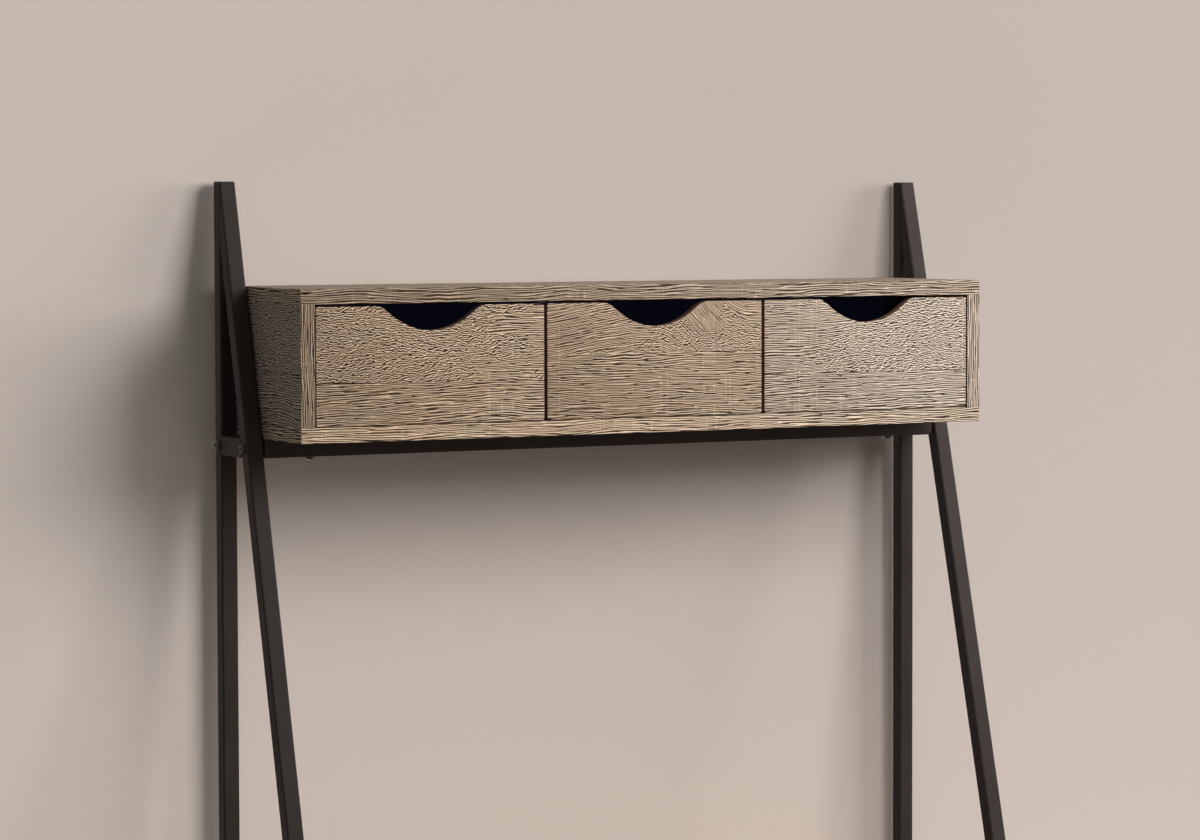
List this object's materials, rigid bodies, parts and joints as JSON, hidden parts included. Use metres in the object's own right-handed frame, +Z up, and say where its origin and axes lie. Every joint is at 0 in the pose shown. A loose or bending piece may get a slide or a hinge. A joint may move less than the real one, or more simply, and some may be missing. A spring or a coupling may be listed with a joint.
{
  "type": "ladder desk",
  "caption": "Tall ladder desk with leaning steel side frames, a wooden worktop and a raised case of scooped drawers.",
  "frame": {"origin": "on the floor, at the centre of the frame's width and depth", "axes": "+Z up, +X to the user's right, +Y towards the wall; the user sits on the -Y side"},
  "size_m": [0.978, 0.45, 1.62],
  "materials": {
    "black_steel": "satin fine-textured powder coat",
    "black_plastic": "matte moulded polyethylene",
    "black_screw": "black coated steel",
    "zinc_steel": "bright zinc plating",
    "oak_board": "matt grey-brown sawn oak laminate with embossed grain",
    "drawer_board": "matt black laminate on chipboard",
    "hardboard": "black lacquered hardboard",
    "beech_dowel": "bare beech"
  },
  "bodies": {
    "desk": {"left_rear_post": "black_steel", "left_front_leg": "black_steel", "left_case_rail": "black_steel", "left_worktop_rail": "black_steel", "left_low_rail": "black_steel", "right_rear_post": "black_steel", "right_front_leg": "black_steel", "right_case_rail": "black_steel", "right_worktop_rail": "black_steel", "right_low_rail": "black_steel", "post_caps": "black_plastic", "post_glides": "black_plastic", "leg_glides": "black_plastic", "case_front_crossbar": "black_steel", "case_rear_crossbar": "black_steel", "worktop_front_crossbar": "black_steel", "worktop_rear_crossbar": "black_steel", "low_stretcher": "black_steel", "crossbar_inserts": "zinc_steel", "crossbar_bolts": "black_screw", "worktop": "oak_board", "worktop_screws": "black_screw", "case_bottom": "oak_board", "case_top": "oak_board", "case_left_end": "oak_board", "case_right_end": "oak_board", "case_back": "hardboard", "case_left_divider": "oak_board", "case_right_divider": "oak_board", "case_dowels": "beech_dowel", "divider_dowels": "beech_dowel", "case_cams": "zinc_steel", "case_cam_bolts": "zinc_steel", "case_screws": "black_screw"},
    "left_drawer": {"left_drawer_front": "oak_board", "left_drawer_left_wall": "drawer_board", "left_drawer_right_wall": "drawer_board", "left_drawer_back": "drawer_board", "left_drawer_bottom": "hardboard", "left_drawer_cams": "zinc_steel", "left_drawer_cam_bolts": "zinc_steel", "left_drawer_screws": "zinc_steel"},
    "middle_drawer": {"middle_drawer_front": "oak_board", "middle_drawer_left_wall": "drawer_board", "middle_drawer_right_wall": "drawer_board", "middle_drawer_back": "drawer_board", "middle_drawer_bottom": "hardboard", "middle_drawer_cams": "zinc_steel", "middle_drawer_cam_bolts": "zinc_steel", "middle_drawer_screws": "zinc_steel"},
    "right_drawer": {"right_drawer_front": "oak_board", "right_drawer_left_wall": "drawer_board", "right_drawer_right_wall": "drawer_board", "right_drawer_back": "drawer_board", "right_drawer_bottom": "hardboard", "right_drawer_cams": "zinc_steel", "right_drawer_cam_bolts": "zinc_steel", "right_drawer_screws": "zinc_steel"}
  },
  "joints": [
    {"name": "left_drawer_slide", "type": "slide", "parent": "desk", "child": "left_drawer", "axis": [0, -1, 0], "range_m": [0, 0.15]},
    {"name": "middle_drawer_slide", "type": "slide", "parent": "desk", "child": "middle_drawer", "axis": [0, -1, 0], "range_m": [0, 0.15]},
    {"name": "right_drawer_slide", "type": "slide", "parent": "desk", "child": "right_drawer", "axis": [0, -1, 0], "range_m": [0, 0.15]}
  ]
}
